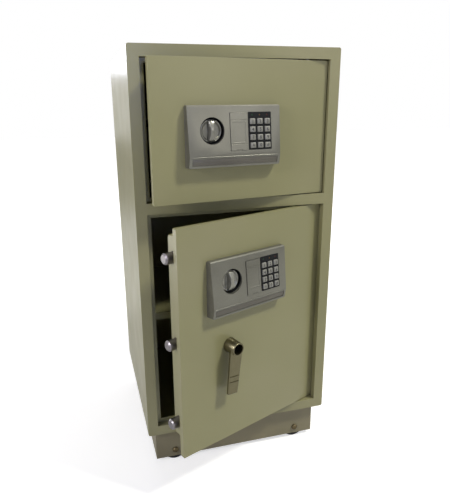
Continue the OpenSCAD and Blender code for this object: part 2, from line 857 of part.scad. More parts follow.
module lock_housing(k) {
    band_tilt = atan((panel_ridge_t - panel_foot_t) / ridge_z);
    color(grey_abs)
        on_panel(k)
            difference() {
                housing_wedge();
                translate([knob_px, 0, knob_pz])
                    rod_y(well_d, -2 * panel_ridge_t, -well_floor);
                translate([knob_px, 0, knob_pz])
                    rod_y(spindle_d + 2 * spindle_clear, -panel_ridge_t, cut);
                translate([barrel_px, 0, barrel_pz])
                    rod_y(barrel_d + 2 * lip_over + 2, -panel_ridge_t, -lip_sink);
                translate([barrel_px, 0, barrel_pz])
                    rod_y(barrel_d + 2 * barrel_clear, -panel_ridge_t, cut);
                on_face() {
                    translate([pad_px, -cut, pad_w0])
                        upright(pad_w, pad_h, pad_sink + cut);
                    translate([hatch_px, -cut, hatch_w0])
                        upright(hatch_w, hatch_h, hatch_t + cut);
                }
                translate([0, -panel_ridge_t, ridge_z])
                    rotate([band_tilt, 0, 0])
                        translate([band_in, -cut, band_rise - ridge_z])
                            upright(panel_w - 2 * band_in, ridge_z - band_rise - band_drop,
                                band_sink + cut, 1);
            }
}

module keypad_plate(k) {
    color(black_abs)
        on_panel(k)
            on_face()
                difference() {
                    translate([pad_px + 0.1, -pad_out, pad_w0 + 0.1])
                        upright(pad_w - 0.2, pad_h - 0.2, pad_t, 1);
                    for (i = [0:11])
                        translate(key_place(i))
                            translate([-key_w / 2 - key_gap, -pad_out - cut, -key_h / 2 - key_gap])
                                upright(key_w + 2 * key_gap, key_h + 2 * key_gap,
                                    pad_t - 0.8 + cut, 1);
                    for (i = [-1:1])
                        translate([pad_px + pad_w / 2 + i * key_px, 0, pad_w0 + pad_h - led_in])
                            rod_y(led_d, -pad_out - cut, -pad_out + 1);
                }
}

// The centre of key i, counted from the top left, on the sloping face
function key_place(i) = [
    pad_px + pad_w / 2 + (i % 3 - 1) * key_px,
    0,
    row_0 + (3 - floor(i / 3)) * key_pz
];

module key(k, i) {
    front = -pad_out - key_out;
    color(key_grey)
        on_panel(k)
            on_face()
                translate(key_place(i)) {
                    translate([-key_w / 2, front + 0.8, -key_h / 2])
                        upright(key_w, key_h, key_rear - front - 0.8, 1.2, $fn = 24);
                    hull() {
                        translate([-key_w / 2, front + 0.8, -key_h / 2])
                            upright(key_w, key_h, 0.1, 1.2, $fn = 16);
                        translate([-key_w / 2 + 0.9, front, -key_h / 2 + 0.9])
                            upright(key_w - 1.8, key_h - 1.8, 0.1, 0.6, $fn = 16);
                    }
                }
}

// The plate that hides the override lock: a notch to lift it by, a bare field and two grooves
module override_cover(k) {
    w = hatch_w - 2 * hatch_gap;
    h = hatch_h - 2 * hatch_gap;
    t = hatch_t + hatch_out;
    color(grey_abs)
        on_panel(k)
            on_face()
                translate([hatch_px + hatch_gap, -hatch_out, hatch_w0 + hatch_gap])
                    difference() {
                        upright(w, h, t, 1);
                        translate([w / 3, -cut, -cut])
                            cube([w / 3, cut + 1, cut + 1.5]);
                        translate([field_in, -cut, h * 0.22])
                            upright(w - 2 * field_in, h * 0.53, cut + 0.6, 1);
                        for (share = [0.16, 0.8])
                            translate([-cut, -cut, h * share])
                                cube([w + 2 * cut, cut + 0.8, 1.2]);
                    }
}

module override_lock(k) {
    color(steel)
        on_panel(k)
            translate([barrel_px, 0, barrel_pz])
                difference() {
                    union() {
                        rod_y(barrel_d + 2 * lip_over, -lip_sink - barrel_out, -lip_sink);
                        rod_y(barrel_d, -lip_sink, barrel_back);
                        rod_y(barrel_stub_d, barrel_back, barrel_back + 3);
                        translate([-lock_cam[0] / 2, barrel_back + 3, -lock_cam[1] * 0.7])
                            upright(lock_cam[0], lock_cam[1], lock_cam[2], 3);
                    }
                    translate([-key_slot[0] / 2, -lip_sink - barrel_out - cut, -key_slot[2] / 2])
                        cube(key_slot);
                }
}

// A dished disc, sunk in its well, with an arched and waisted grip across it. The grip is
// upright when the lock is open.
module knob(k) {
    rear = well_floor + 1;
    scoop = 1.1 * knob_d;
    dish_d = knob_d - 2 * rim_w;
    length = k == 0 ? door_t + 4 : cam_y + arm_t;
    color(grey_abs)
        on_door(k)
            translate([knob_x, 0, knob_z[k]]) {
                difference() {
                    rod_y(knob_d, -knob_rim, -rear);
                    rod_y(dish_d, -knob_rim - cut, -knob_rim + knob_hollow);
                }
                intersection() {
                    difference() {
                        rod_y(dish_d + 0.5, -knob_out, -rear - 0.5);
                        for (side = [-1, 1])
                            translate([side * (scoop + grip_w) / 2, 0, 0])
                                rod_y(scoop, -knob_out - cut, -rear);
                    }
                    translate([-knob_d, grip_arch - knob_out, 0])
                        rotate([0, 90, 0])
                            cylinder(r = grip_arch, h = 2 * knob_d);
                }
                rod_y(spindle_d, -rear - 0.5, length);
            }
}

module upper_knob_cam() {
    color(steel)
        on_door(1)
            difference() {
                cam(1);
                translate([cam_x[1], 0, cam_z[1]])
                    rod_y(spindle_d + 0.02, 0, casing_back);
            }
}

// The lever seen from the front, widening below the hub and tapering to its end
module lever_front() {
    r = lever_end_w / 6;
    polygon([
        [-hub_end_d / 2, 0],
        [-lever_w / 2, -lever_w / 3],
        [-lever_end_w / 2, r - lever_len],
        [lever_end_w / 2, r - lever_len],
        [lever_w / 2, -lever_w / 3],
        [hub_end_d / 2, 0]
    ]);
    for (x = [r - lever_end_w / 2, lever_end_w / 2 - r])
        translate([x, r - lever_len])
            circle(r);
    translate([r - lever_end_w / 2, -lever_len])
        square([lever_end_w - 2 * r, 2 * r]);
}

// The lever seen from the side, its front face leaning back towards the end
module lever_side() {
    lean = lever_t / 6;
    tip = lever_t / 3;
    polygon([
        [0, 0],
        [lever_t, 0],
        [lever_t, -lever_len],
        [lean + tip, -lever_len],
        [lean, tip - lever_len]
    ]);
}

// An L-shaped lever: a tapering hub with an open end, and an arm that hangs from it
module lever_handle() {
    color(zinc)
        on_door(0)
            translate([hub_x, 0, hub_z])
                difference() {
                    union() {
                        translate([0, -hub_gap, 0])
                            rotate([90, 0, 0])
                                cylinder(d1 = hub_d, d2 = hub_end_d, h = hub_out - hub_gap);
                        rotate([0, lever_lean, 0])
                            translate([0, lever_set - hub_out, 0])
                                intersection() {
                                    translate([0, lever_t, 0])
                                        rotate([90, 0, 0])
                                            linear_extrude(lever_t)
                                                lever_front();
                                    translate([-lever_w, 0, 0])
                                        rotate([90, 0, 90])
                                            linear_extrude(2 * lever_w)
                                                lever_side();
                                }
                    }
                    rod_y(hub_bore, -hub_out - cut, -hub_out * 0.3);
                    rotate([0, lever_lean, 0])
                        for (share = [0.6, 0.72])
                            translate([-lever_w, lever_set - hub_out - cut, -lever_len * share])
                                cube([2 * lever_w, cut + lever_t / 4, lever_groove]);
                }
}

module lever_spindle() {
    color(steel)
        on_door(0) {
            translate([hub_x, 0, hub_z])
                rod_y(lever_spindle_d, -hub_gap, cam_y);
            cam(0);
        }
}

body_wrap();
back_panel();
front_frame();
compartment_deck();
hinge_pins();
shelf();
shelf_brackets();
plinth();
axle_bolts();
roller(-1, 0);  // roller_front_left
roller(1, 0);  // roller_front_right
roller(-1, 1);  // roller_rear_left
roller(1, 1);  // roller_rear_right
for (k = [0, 1]) {
    d = door_names[k];
    door_plate(k);
    door_casing(k);
    inner_cover(k);
    battery_box(k);
    bolt_carriage(k);
    lock_housing(k);
    keypad_plate(k);
    override_cover(k);
    override_lock(k);
    knob(k);
    for (i = [0:11])
        key(k, i);
}
upper_knob_cam();
lever_handle();
lever_spindle();
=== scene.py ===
import json
import math

import bmesh
import bpy
from mathutils import Matrix, Vector


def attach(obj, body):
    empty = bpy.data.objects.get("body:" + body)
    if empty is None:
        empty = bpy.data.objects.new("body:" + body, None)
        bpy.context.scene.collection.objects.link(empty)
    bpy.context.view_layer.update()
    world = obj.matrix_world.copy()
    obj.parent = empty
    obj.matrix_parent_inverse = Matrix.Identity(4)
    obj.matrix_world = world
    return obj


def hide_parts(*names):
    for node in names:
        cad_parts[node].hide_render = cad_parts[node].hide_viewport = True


# Two-door electronic safe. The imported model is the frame, and this script dresses it.
# Sizes in the dictionaries are millimetres, colours are sRGB hex.

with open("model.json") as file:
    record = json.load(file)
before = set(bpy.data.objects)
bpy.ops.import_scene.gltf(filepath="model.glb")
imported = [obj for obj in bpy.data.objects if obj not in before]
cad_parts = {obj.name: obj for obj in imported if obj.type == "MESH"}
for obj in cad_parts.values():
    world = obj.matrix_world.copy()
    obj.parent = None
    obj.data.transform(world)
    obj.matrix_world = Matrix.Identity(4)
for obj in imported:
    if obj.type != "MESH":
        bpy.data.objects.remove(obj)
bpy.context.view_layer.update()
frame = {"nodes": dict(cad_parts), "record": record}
nodes = frame["nodes"]
mm = 0.001
print("frame loaded,", len(nodes), "nodes")

# the doors' places, as in the solids
doorPlan = {
    "pin": (132.0, -167.5),      # hinge axis, x and y
    "pinLocal": (300.0, 15.0),   # the same axis seen from the plate's corner
    "bottom": {"lower": 102.0, "upper": 552.0},
    "open": {"lower": 22.0, "upper": 8.0},
    "height": {"lower": 426.0, "upper": 236.0},
    "housing": {"lower": 260.0, "upper": 60.0},
    "housingX": 57.5,
    "ridge": (19.0, 18.0),       # thickness and height of the housing's ridge
    "faceTilt": 5.7781,
}
doors = ("lower", "upper")


def doorSpace(door):
    pinX, pinY = doorPlan["pin"]
    u, v = doorPlan["pinLocal"]
    turn = Matrix.Rotation(math.radians(doorPlan["open"][door]), 4, "Z")
    lift = Vector((-u, -v, doorPlan["bottom"][door])) * mm
    return Matrix.Translation(Vector((pinX, pinY, 0)) * mm) @ turn @ Matrix.Translation(lift)


def faceSpace(door):
    thick, rise = doorPlan["ridge"]
    corner = Vector((doorPlan["housingX"], -thick, doorPlan["housing"][door] + rise)) * mm
    tilt = Matrix.Rotation(-math.radians(doorPlan["faceTilt"]), 4, "X")
    return doorSpace(door) @ Matrix.Translation(corner) @ tilt


def hexToLinear(code):
    parts = [int(code[i:i + 2], 16) / 255 for i in (1, 3, 5)]
    return [p / 12.92 if p <= 0.04045 else ((p + 0.055) / 1.055) ** 2.4 for p in parts] + [1.0]


def perMetre(sizeMm):
    return 1000.0 / sizeMm


noiseSpan = (0.3, 0.7)           # most values of a noise lie between these


def addNode(tree, kind, settings=None, inputs=None):
    node = tree.nodes.new(kind)
    for name, value in (settings or {}).items():
        setattr(node, name, value)
    for name, value in (inputs or {}).items():
        if isinstance(value, bpy.types.NodeSocket):
            tree.links.new(value, node.inputs[name])
        else:
            node.inputs[name].default_value = value
    return node


def newMaterial(name):
    material = bpy.data.materials.new(name)
    material.use_nodes = True
    material.node_tree.nodes.clear()
    return material, material.node_tree


def closeMaterial(tree, shader):
    addNode(tree, "ShaderNodeOutputMaterial", inputs={"Surface": shader.outputs[0]})


# Polyester powder coat on steel, sprayed and oven-cured: a soft gloss over a slight orange peel.
# The peel is 2 mm on the real sheet and drawn at 5 mm, so that it shows.
powderPlan = {
    "body": ("#8b8862", "#87845e", "#8e8a68"),
    "roughness": (0.28, 0.35),
    "peel": 5.0,
    "cloud": 240.0,
    "grime": 60.0,
    "tones": (0.3, 0.5, 0.72),
    "bump": (0.16, 0.00012),     # strength, and depth in metres
    "ior": 1.5,
}


def powderCoat(name, colours, roughness):
    material, tree = newMaterial(name)
    where = addNode(tree, "ShaderNodeTexCoord").outputs["Object"]
    cloud = addNode(tree, "ShaderNodeTexNoise", inputs={
        "Vector": where, "Scale": perMetre(powderPlan["cloud"]), "Detail": 3.0, "Roughness": 0.5})
    peel = addNode(tree, "ShaderNodeTexNoise", inputs={
        "Vector": where, "Scale": perMetre(powderPlan["peel"]), "Detail": 1.5})
    grime = addNode(tree, "ShaderNodeTexNoise", inputs={
        "Vector": where, "Scale": perMetre(powderPlan["grime"]), "Detail": 3.0, "Roughness": 0.5})
    tone = addNode(tree, "ShaderNodeValToRGB", inputs={"Fac": cloud.outputs["Fac"]})
    ramp = tone.color_ramp
    low, middle, high = powderPlan["tones"]
    ramp.elements[0].position, ramp.elements[1].position = low, high
    ramp.elements[0].color = hexToLinear(colours[1])
    ramp.elements[1].color = hexToLinear(colours[2])
    ramp.elements.new(middle).color = hexToLinear(colours[0])
    gloss = addNode(tree, "ShaderNodeMapRange", inputs={
        "Value": grime.outputs["Fac"], "From Min": noiseSpan[0],
        "From Max": noiseSpan[1], "To Min": roughness[0], "To Max": roughness[1]})
    bump = addNode(tree, "ShaderNodeBump", inputs={
        "Height": peel.outputs["Fac"], "Strength": powderPlan["bump"][0],
        "Distance": powderPlan["bump"][1]})
    shader = addNode(tree, "ShaderNodeBsdfPrincipled", inputs={
        "Base Color": tone.outputs["Color"], "Roughness": gloss.outputs["Result"],
        "IOR": powderPlan["ior"], "Normal": bump.outputs["Normal"]})
    closeMaterial(tree, shader)
    return material


# Injection-moulded ABS under a silver-grey lacquer: an even metallic grey with a fine flake.
# The flake is under 0.1 mm on the real part and drawn at 0.9 mm, so that it shows.
lacquerPlan = {"flake": 0.9, "flakeShare": 0.5, "cloud": 60.0, "tones": (0.45, 0.95),
               "metallic": 0.55, "bump": (0.08, 0.00004)}


def silverLacquer(name, colours, roughness):
    material, tree = newMaterial(name)
    where = addNode(tree, "ShaderNodeTexCoord").outputs["Object"]
    flake = addNode(tree, "ShaderNodeTexVoronoi", inputs={
        "Vector": where, "Scale": perMetre(lacquerPlan["flake"])})
    cloud = addNode(tree, "ShaderNodeTexNoise", inputs={
        "Vector": where, "Scale": perMetre(lacquerPlan["cloud"]), "Detail": 2.0})
    spread = addNode(tree, "ShaderNodeMath", {"operation": "MULTIPLY_ADD"}, {
        0: flake.outputs["Distance"], 1: lacquerPlan["flakeShare"], 2: cloud.outputs["Fac"]})
    tone = addNode(tree, "ShaderNodeValToRGB", inputs={"Fac": spread.outputs[0]})
    tone.color_ramp.elements[0].position = lacquerPlan["tones"][0]
    tone.color_ramp.elements[0].color = hexToLinear(colours[0])
    tone.color_ramp.elements[1].position = lacquerPlan["tones"][1]
    tone.color_ramp.elements[1].color = hexToLinear(colours[1])
    bump = addNode(tree, "ShaderNodeBump", inputs={
        "Height": flake.outputs["Distance"], "Strength": lacquerPlan["bump"][0],
        "Distance": lacquerPlan["bump"][1]})
    shader = addNode(tree, "ShaderNodeBsdfPrincipled", inputs={
        "Base Color": tone.outputs["Color"], "Metallic": lacquerPlan["metallic"],
        "Roughness": roughness, "Normal": bump.outputs["Normal"]})
    closeMaterial(tree, shader)
    return material


# Unpainted moulded plastic, spark-eroded to a fine grain: dull, with a broad soft highlight.
# The grain is under 0.5 mm on the real pieces and drawn at 1.1 to 1.8 mm, so that it shows.
plasticPlan = {"handled": 14.0, "spread": 0.06, "depth": 0.00005, "ior": 1.52}


def mouldedPlastic(name, colours, roughness, grain, strength, specular=0.5):
    material, tree = newMaterial(name)
    where = addNode(tree, "ShaderNodeTexCoord").outputs["Object"]
    pits = addNode(tree, "ShaderNodeTexNoise", inputs={
        "Vector": where, "Scale": perMetre(grain), "Detail": 3.0})
    handled = addNode(tree, "ShaderNodeTexNoise", inputs={
        "Vector": where, "Scale": perMetre(plasticPlan["handled"]), "Detail": 3.0})
    tone = addNode(tree, "ShaderNodeMix", {"data_type": "RGBA"}, {
        "Factor": handled.outputs["Fac"], 6: hexToLinear(colours[0]), 7: hexToLinear(colours[1])})
    gloss = addNode(tree, "ShaderNodeMapRange", inputs={
        "Value": handled.outputs["Fac"], "From Min": noiseSpan[0],
        "From Max": noiseSpan[1],
        "To Min": roughness - plasticPlan["spread"], "To Max": roughness + plasticPlan["spread"]})
    bump = addNode(tree, "ShaderNodeBump", inputs={
        "Height": pits.outputs["Fac"], "Strength": strength,
        "Distance": plasticPlan["depth"]})
    shader = addNode(tree, "ShaderNodeBsdfPrincipled", inputs={
        "Base Color": tone.outputs[2], "Roughness": gloss.outputs["Result"],
        "IOR": plasticPlan["ior"], "Specular IOR Level": specular,
        "Normal": bump.outputs["Normal"]})
    closeMaterial(tree, shader)
    return material


# Plated metal: a mirror broken up by fine scratches, which run along a brushed piece. They are
# under 0.1 mm on the real pieces and drawn at 0.6 to 1.6 mm, so that they show.
platePlan = {"cloud": 9.0, "depth": 0.00003}


def platedMetal(name, colours, roughness, scratch, stretch, strength):
    material, tree = newMaterial(name)
    where = addNode(tree, "ShaderNodeTexCoord").outputs["Object"]
    along = addNode(tree, "ShaderNodeMapping", inputs={"Vector": where, "Scale": stretch})
    lines = addNode(tree, "ShaderNodeTexNoise", inputs={
        "Vector": along.outputs["Vector"], "Scale": perMetre(scratch), "Detail": 4.0})
    cloud = addNode(tree, "ShaderNodeTexNoise", inputs={
        "Vector": where, "Scale": perMetre(platePlan["cloud"]), "Detail": 4.0})
    tone = addNode(tree, "ShaderNodeMix", {"data_type": "RGBA"}, {
        "Factor": cloud.outputs["Fac"], 6: hexToLinear(colours[0]), 7: hexToLinear(colours[1])})
    gloss = addNode(tree, "ShaderNodeMapRange", inputs={
        "Value": lines.outputs["Fac"], "From Min": noiseSpan[0],
        "From Max": noiseSpan[1], "To Min": roughness[0], "To Max": roughness[1]})
    bump = addNode(tree, "ShaderNodeBump", inputs={
        "Height": lines.outputs["Fac"], "Strength": strength,
        "Distance": platePlan["depth"]})
    shader = addNode(tree, "ShaderNodeBsdfPrincipled", inputs={
        "Base Color": tone.outputs[2], "Metallic": 1.0, "Roughness": gloss.outputs["Result"],
        "Normal": bump.outputs["Normal"]})
    closeMaterial(tree, shader)
    return material


# Screen-printed ink and the small lamps' dyed lenses: one colour with hardly a speck
inkPlan = {"speck": 1.2, "shade": (0.8, 1.2), "ior": 1.5}


def plainGloss(name, code, roughness):
    material, tree = newMaterial(name)
    where = addNode(tree, "ShaderNodeTexCoord").outputs["Object"]
    speck = addNode(tree, "ShaderNodeTexNoise", inputs={
        "Vector": where, "Scale": perMetre(inkPlan["speck"])})
    tone = addNode(tree, "ShaderNodeHueSaturation", inputs={"Color": hexToLinear(code)})
    shade = addNode(tree, "ShaderNodeMapRange", inputs={
        "Value": speck.outputs["Fac"], "To Min": inkPlan["shade"][0],
        "To Max": inkPlan["shade"][1]})
    tree.links.new(shade.outputs["Result"], tone.inputs["Value"])
    shader = addNode(tree, "ShaderNodeBsdfPrincipled", inputs={
        "Base Color": tone.outputs["Color"], "Roughness": roughness, "IOR": inkPlan["ior"]})
    closeMaterial(tree, shader)
    return material


bodyPaint = powderCoat("greyGreenPowderCoat", powderPlan["body"], powderPlan["roughness"])
# Inside: the same powder coat, duller, and darker as painted shade for the dim inside of the safe
insideShadedPaint = powderCoat("insidePaintedShadePowderCoat", ("#5c5c4b", "#575748", "#626251"), (0.45, 0.55))
# Satin coat on the plinth, browner than the body
plinthPaint = powderCoat("satinPlinthPaint", ("#7d765c", "#766f57", "#837c63"), (0.45, 0.56))
# Lacquered ABS: the band inlays darker and duller than the housings, the knobs lighter and glossier
housingLacquer = silverLacquer("silverLacqueredAbs", ("#6b6a61", "#7a7970"), 0.31)
inlayLacquer = silverLacquer("greyInlayLacquer", ("#5b5851", "#66635b"), 0.4)
knobLacquer = silverLacquer("silverKnobAbs", ("#76756d", "#8d8c83"), 0.22)
# Bare ABS: a black grain that hardly shines, and light grey keys worn smoother
blackAbs = mouldedPlastic("blackGrainedAbs", ("#0e0f11", "#151617"), 0.55, 1.1, 0.35, 0.16)
keyAbs = mouldedPlastic("lightGreyKeyAbs", ("#76756d", "#86857c"), 0.42, 1.4, 0.1)
# Moulded nylon of the rollers: black, with a coarse dull grain
rollerNylon = mouldedPlastic("blackMouldedNylon", ("#1b1b1a", "#262524"), 0.55, 1.8, 0.4, 0.3)
# Chromed steel of the bolts: grey reflections, with scratches running roughly along them
boltChrome = platedMetal("chromedBoltSteel", ("#8f8b8e", "#747074"), (0.3, 0.42), 0.8,
                         (1, 8, 8), 0.1)
# Nickel-plated casting: the lever's arm brushed along its length, its hub polished all round. The
# arm's darker olive-brown colour is a painted reflection of the door's paint; the hub keeps a
# greyer nickel.
armNickelPaintedReflection = platedMetal("satinNickelCastingPaintedReflection", ("#757059", "#67624c"), (0.26, 0.38), 1.0,
                          (6, 6, 0.6), 0.12)
hubNickel = platedMetal("polishedNickelCasting", ("#8b8679", "#7a7568"), (0.22, 0.34), 1.0,
                        (1, 1, 1), 0.1)
# Turned brass under nickel: the lock barrels, light and a little warm
barrelNickel = platedMetal("turnedNickelBrass", ("#b3afa2", "#a19d90"), (0.2, 0.32), 0.6,
                           (1, 1, 1), 0.08)
# Zinc-plated steel: brown and dulled on the axle bolts, a cool grey on the hidden fittings
dulledZinc = platedMetal("dulledZincSteel", ("#6d6249", "#544b37"), (0.28, 0.44), 1.2,
                         (1, 1, 1), 0.12)
zincSteel = platedMetal("zincPlatedSteel", ("#a9abad", "#8f9193"), (0.32, 0.46), 1.6,
                        (1, 1, 1), 0.1)
keyInk = plainGloss("printedKeyInk", "#1f2023", 0.5)
lampColours = {"green": "#24402b", "amber": "#5a4424", "red": "#4f2222"}
lamps = {n: plainGloss(n + "LampLens", c, 0.16) for n, c in lampColours.items()}
print("materials made:", len(bpy.data.materials))

bodyOf = {n: body for body, members in frame["record"]["behaviour"]["bodies"].items()
          for n in members}


def addObject(name, data):
    thing = bpy.data.objects.new(name, data)
    bpy.context.scene.collection.objects.link(thing)
    return thing


# smooth: edges flatter than this, in degrees, are shaded smooth
def linkPiece(name, mesh, material, body, smooth=40.0):
    piece = addObject(name, mesh)
    mesh.materials.clear()
    mesh.materials.append(material)
    mesh.shade_smooth()
    mesh.set_sharp_from_angle(angle=math.radians(smooth))
    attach(piece, body)
    return piece


def bakeModifiers(piece):
    graph = bpy.context.evaluated_depsgraph_get()
    baked = bpy.data.meshes.new_from_object(piece.evaluated_get(graph))
    baked.name = piece.data.name
    piece.modifiers.clear()
    piece.data = baked


def cutWith(piece, cutter):
    boolean = piece.modifiers.new("cut", "BOOLEAN")
    boolean.object, boolean.operation, boolean.solver = cutter, "DIFFERENCE", "EXACT"


# The housings' upright front corners are rounder than their other edges
cornerPlan = {"radius": 4.2, "steps": 5, "left": (0.3, 2.0), "right": (171.0, 172.7),
              "front": (-19.5, -9.0), "shortest": 8}


def softenCorners(welded, door):
    place = doorSpace(door) @ Matrix.Translation(
        Vector((doorPlan["housingX"], 0, doorPlan["housing"][door])) * mm)
    home = place.inverted()
    chosen = []
    for edge in welded.edges:
        ends = [home @ v.co / mm for v in edge.verts]
        onSide = any(all(low < end.x < high for end in ends)
                     for low, high in (cornerPlan["left"], cornerPlan["right"]))
        atFront = all(cornerPlan["front"][0] < end.y < cornerPlan["front"][1] for end in ends)
        if onSide and atFront and abs(ends[0].z - ends[1].z) > cornerPlan["shortest"]:
            chosen.append(edge)
    bmesh.ops.bevel(welded, geom=chosen, offset=cornerPlan["radius"] * mm, offset_type="OFFSET",
                    segments=cornerPlan["steps"], profile=0.5, affect="EDGES", clamp_overlap=True)
    return len(chosen)


# Sheet and castings have no knife edges: each solid is copied, welded and its edges rounded.
# Weld and seam are in metres, the flat angle in degrees. Edges sharper than corner are rounded.
cleanPlan = {"weld": 0.000004, "flat": 0.5, "seam": 0.0000005}


def roundedCopy(nodeName, material, edge, steps=2, corner=32.0):
    mesh = nodes[nodeName].data.copy()
    mesh.name = nodeName + "Mesh"
    welded = bmesh.new()
    welded.from_mesh(mesh)
    bmesh.ops.remove_doubles(welded, verts=welded.verts, dist=cleanPlan["weld"])
    bmesh.ops.dissolve_limit(welded, angle_limit=math.radians(cleanPlan["flat"]),
                             verts=welded.verts, edges=welded.edges)
    if nodeName.endswith("lock_housing"):
        print(nodeName, "corners softened:", softenCorners(welded, nodeName.split("_")[0]))
    welded.to_mesh(mesh)
    welded.free()
    if "custom_normal" in mesh.attributes:
        mesh.attributes.remove(mesh.attributes["custom_normal"])
    piece = linkPiece(nodeName + "Skin", mesh, material, bodyOf[nodeName],
                      smooth=50.0)
    if edge > 0:
        bevel = piece.modifiers.new("roundEdges", "BEVEL")
        bevel.width = edge * mm
        bevel.segments = steps
        bevel.limit_method = "ANGLE"
        bevel.angle_limit = math.radians(corner)
        bevel.harden_normals = True
        bakeModifiers(piece)
    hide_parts(nodeName)
    return piece


# node: (material, edge radius, rings round the edge)
shellPlan = {
    "body_wrap": (bodyPaint, 0.8, 2),
    "back_panel": (bodyPaint, 0.5, 2),
    "front_frame": (bodyPaint, 0.8, 3),
    # the deck's darker coat is painted shade for the safe's dim inside
    "compartment_deck": (insideShadedPaint, 0.5, 2),
    "shelf": (bodyPaint, 0.8, 2),
    "shelf_brackets": (zincSteel, 0.4, 2),
    "hinge_pins": (zincSteel, 0.5, 2),
    "plinth": (plinthPaint, 0.8, 2),
    "axle_bolts": (dulledZinc, 0.8, 2),
}
doorShells = {
    "door_plate": (bodyPaint, 1.0, 3),
    "door_casing": (bodyPaint, 0.6, 2),
    "inner_cover": (bodyPaint, 0.4, 2),
    "battery_box": (blackAbs, 0.6, 2),
    "bolt_carriage": (boltChrome, 0.6, 3),
    "lock_housing": (housingLacquer, 0.9, 3),
    "keypad_plate": (blackAbs, 0.25, 2),
    "override_cover": (housingLacquer, 0.3, 2),
    "override_lock": (barrelNickel, 0.3, 2),
}
for place in ("front_left", "front_right", "rear_left", "rear_right"):
    shellPlan["roller_" + place] = (rollerNylon, 0.5, 2)
for door in doors:
    for part, plan in doorShells.items():
        shellPlan[door + "_" + part] = plan
shellPlan["upper_knob_cam"] = (zincSteel, 0.3, 2)
shellPlan["lever_spindle"] = (zincSteel, 0.3, 2)
for nodeName, (material, edge, steps) in shellPlan.items():
    roundedCopy(nodeName, material, edge, steps)
print("shells rounded:", len(shellPlan))

outward = Matrix.Rotation(math.pi / 2, 4, "X")   # a piece's +Z leaves the door's face
inward = Matrix.Rotation(-math.pi / 2, 4, "X")   # and here it points into the safe

# Key caps, with their digits printed on the front
keyPlan = {
    "names": ("1", "2", "3", "4", "5", "6", "7", "8", "9", "star", "0", "hash"),
    "marks": {"star": "*", "hash": "#"},
    "columns": 3, "rows": 4,
    "padMiddle": 132.5,
    "firstRow": 17.1,
    "pitch": (14.2, 13.3),
    "front": 2.7,
    "digit": 5.8,
    "fontScale": 1.35,
    "ink": 0.04,                 # how far the print stands out
    "swell": 0.12,               # how much bolder than the font
    "curveSteps": 3,
}


def markMesh(text, height):
    curve = bpy.data.curves.new("mark", "FONT")
    curve.body = text
    curve.size = height * keyPlan["fontScale"] * mm
    curve.align_x, curve.align_y = "CENTER", "CENTER"
    curve.extrude = keyPlan["ink"] * mm
    curve.offset = keyPlan["swell"] * mm
    curve.resolution_u = keyPlan["curveSteps"]
    holder = addObject("mark", curve)
    graph = bpy.context.evaluated_depsgraph_get()
    mesh = bpy.data.meshes.new_from_object(holder.evaluated_get(graph))
    bpy.data.objects.remove(holder)
    middle = (min(v.co.y for v in mesh.vertices) + max(v.co.y for v in mesh.vertices)) / 2
    mesh.transform(Matrix.Translation((0, -middle, 0)))
    return mesh


for door in doors:
    for i, keyName in enumerate(keyPlan["names"]):
        nodeName = door + "_key_" + keyName
        roundedCopy(nodeName, keyAbs, 0.0)
        column, row = i % keyPlan["columns"] - 1, keyPlan["rows"] - 1 - i // keyPlan["columns"]
        spot = Vector((keyPlan["padMiddle"] + column * keyPlan["pitch"][0], -keyPlan["front"],
                       keyPlan["firstRow"] + row * keyPlan["pitch"][1])) * mm
        mesh = markMesh(keyPlan["marks"].get(keyName, keyName), keyPlan["digit"])
        mesh.transform(faceSpace(door) @ Matrix.Translation(spot) @ outward)
        linkPiece(nodeName + "Mark", mesh, keyInk, bodyOf[nodeName], smooth=30.0)
print("key caps printed")


# A turned piece: a profile of (radius, height) pairs spun about +Z
def turned(profile, around):
    shape = bmesh.new()
    angles = [2 * math.pi * i / around for i in range(around)]
    rings = []
    for radius, height in profile:
        if radius == 0:
            rings.append([shape.verts.new((0, 0, height * mm))])
        else:
            rings.append([shape.verts.new((radius * mm * math.cos(a), radius * mm * math.sin(a),
                                           height * mm)) for a in angles])
    for low, high in zip(rings, rings[1:]):
        for i in range(around):
            j = (i + 1) % around
            corners = [low[i % len(low)], low[j % len(low)],
                       high[j % len(high)], high[i % len(high)]]
            shape.faces.new(list(dict.fromkeys(corners)))
    bmesh.ops.remove_doubles(shape, verts=shape.verts, dist=cleanPlan["seam"])
    bmesh.ops.recalc_face_normals(shape, faces=shape.faces)
    return shape


# Rings of points, joined and closed at both ends
def skinRings(shape, rings):
    count = len(rings[0])
    for low, high in zip(rings, rings[1:]):
        for i in range(count):
            j = (i + 1) % count
            shape.faces.new((low[i], low[j], high[j], high[i]))
    for end in (rings[0], rings[-1]):
        shape.faces.new(end)
    bmesh.ops.recalc_face_normals(shape, faces=shape.faces)


# One mesh with a copy of the shape at every matrix
def stamped(shape, matrices):
    whole = bmesh.new()
    single = bpy.data.meshes.new("single")
    shape.to_mesh(single)
    shape.free()
    for matrix in matrices:
        copy = single.copy()
        copy.transform(matrix)
        whole.from_mesh(copy)
        bpy.data.meshes.remove(copy)
    bpy.data.meshes.remove(single)
    mesh = bpy.data.meshes.new("stamped")
    whole.to_mesh(mesh)
    whole.free()
    return mesh


